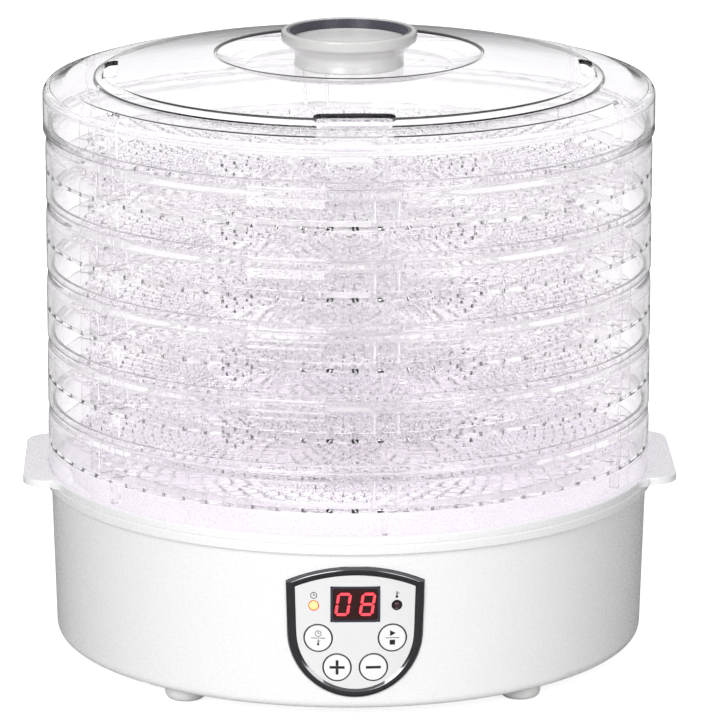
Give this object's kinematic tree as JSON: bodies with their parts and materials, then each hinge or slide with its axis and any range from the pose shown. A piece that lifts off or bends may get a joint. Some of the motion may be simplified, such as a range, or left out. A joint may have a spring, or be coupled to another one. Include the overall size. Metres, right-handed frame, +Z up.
{
  "type": "food dehydrator",
  "caption": "Round electric food dehydrator: heated fan base with a control panel, stacking clear trays with openwork floors, and a clear domed lid with a knob.",
  "frame": {"origin": "on the floor under the centre of the base", "axes": "+Z up along the axis of the stack, control panel facing -Y, carrying handles at +X and -X"},
  "size_m": [0.35, 0.329, 0.3367],
  "materials": {
    "white_shell": "gloss moulded ABS",
    "white_grille": "satin moulded ABS",
    "duct": "plain sheet metal",
    "bracket_steel": "plated",
    "laminated_steel": "laminated, edges showing",
    "shaft_steel": "ground",
    "copper": "enamelled winding wire",
    "bronze": "sintered",
    "fan_plastic": "moulded",
    "mica": "mica sheet",
    "heater_wire": "resistance wire",
    "black_plastic": "moulded",
    "circuit_board": "solder mask",
    "transformer_core": "laminated core with tape",
    "capacitor_sleeve": "shrink sleeve",
    "lead_rubber": "moulded",
    "ribbon": "flat cable",
    "display_lens": "smoked red lens",
    "led_amber": "lit lens",
    "led_dark": "unlit lens",
    "chrome_trim": "plated",
    "panel_silver": "pearl white",
    "button_white": "satin with a dark edge ring",
    "foot_rubber": "off-white",
    "screw_steel": "zinc plated",
    "clear_tray": "clear moulded",
    "clear_lid": "clear moulded",
    "knob_white": "gloss",
    "knob_dark": "satin"
  },
  "bodies": {
    "base": {"base_shell": "white_shell", "base_deck": "white_shell", "air_grille": "white_grille", "intake_grille": "white_shell", "fan_duct": "duct", "motor_bracket": "bracket_steel", "motor_bridge": "bracket_steel", "motor_stator": "laminated_steel", "motor_winding": "copper", "bearing_lower": "bronze", "bearing_upper": "bronze", "heater_frame": "mica", "heater_coil": "heater_wire", "thermostat": "black_plastic", "thermal_fuse": "bracket_steel", "power_board": "circuit_board", "transformer": "transformer_core", "relay": "black_plastic", "capacitor": "capacitor_sleeve", "supply_lead": "lead_rubber", "ribbon_cable": "ribbon", "control_board": "circuit_board", "display_module": "black_plastic", "display_window": "display_lens", "led_time": "led_amber", "led_temp": "led_dark", "bezel": "chrome_trim", "faceplate": "panel_silver", "switch_mode": "black_plastic", "switch_start": "black_plastic", "switch_plus": "black_plastic", "switch_minus": "black_plastic", "cord_gland": "lead_rubber", "foot_1": "foot_rubber", "foot_2": "foot_rubber", "foot_3": "foot_rubber", "foot_4": "foot_rubber", "screw_1": "screw_steel", "screw_2": "screw_steel", "screw_3": "screw_steel", "screw_4": "screw_steel"},
    "fan_rotor": {"fan": "fan_plastic", "motor_shaft": "shaft_steel", "motor_rotor": "laminated_steel"},
    "button_mode": {"button_mode": "button_white"},
    "button_start": {"button_start": "button_white"},
    "button_plus": {"button_plus": "button_white"},
    "button_minus": {"button_minus": "button_white"},
    "tray_5": {"tray_5": "clear_tray"},
    "tray_4": {"tray_4": "clear_tray"},
    "tray_3": {"tray_3": "clear_tray"},
    "tray_2": {"tray_2": "clear_tray"},
    "tray_1": {"tray_1": "clear_tray"},
    "lid": {"lid": "clear_lid", "knob": "knob_white", "knob_insert": "knob_dark", "knob_cap": "knob_white", "knob_screw": "screw_steel"}
  },
  "joints": [
    {"name": "fan_spin", "type": "hinge", "parent": "base", "child": "fan_rotor", "pos_m": [0, 0, 0.05], "axis": [0, 0, 1], "continuous": true},
    {"name": "press_mode", "type": "slide", "parent": "base", "child": "button_mode", "axis": [0, 1, 0], "range_m": [0, 0.0008], "stiffness_N_per_m": 600},
    {"name": "press_start", "type": "slide", "parent": "base", "child": "button_start", "axis": [0, 1, 0], "range_m": [0, 0.0008], "stiffness_N_per_m": 600},
    {"name": "press_plus", "type": "slide", "parent": "base", "child": "button_plus", "axis": [0, 1, 0], "range_m": [0, 0.0008], "stiffness_N_per_m": 600},
    {"name": "press_minus", "type": "slide", "parent": "base", "child": "button_minus", "axis": [0, 1, 0], "range_m": [0, 0.0008], "stiffness_N_per_m": 600},
    {"name": "lift_tray_5", "type": "slide", "parent": "base", "child": "tray_5", "axis": [0, 0, 1], "range_m": [0, 0.06]},
    {"name": "lift_tray_4", "type": "slide", "parent": "tray_5", "child": "tray_4", "axis": [0, 0, 1], "range_m": [0, 0.06]},
    {"name": "lift_tray_3", "type": "slide", "parent": "tray_4", "child": "tray_3", "axis": [0, 0, 1], "range_m": [0, 0.06]},
    {"name": "lift_tray_2", "type": "slide", "parent": "tray_3", "child": "tray_2", "axis": [0, 0, 1], "range_m": [0, 0.06]},
    {"name": "lift_tray_1", "type": "slide", "parent": "tray_2", "child": "tray_1", "axis": [0, 0, 1], "range_m": [0, 0.06]},
    {"name": "lift_lid", "type": "slide", "parent": "tray_1", "child": "lid", "axis": [0, 0, 1], "range_m": [0, 0.1]}
  ]
}
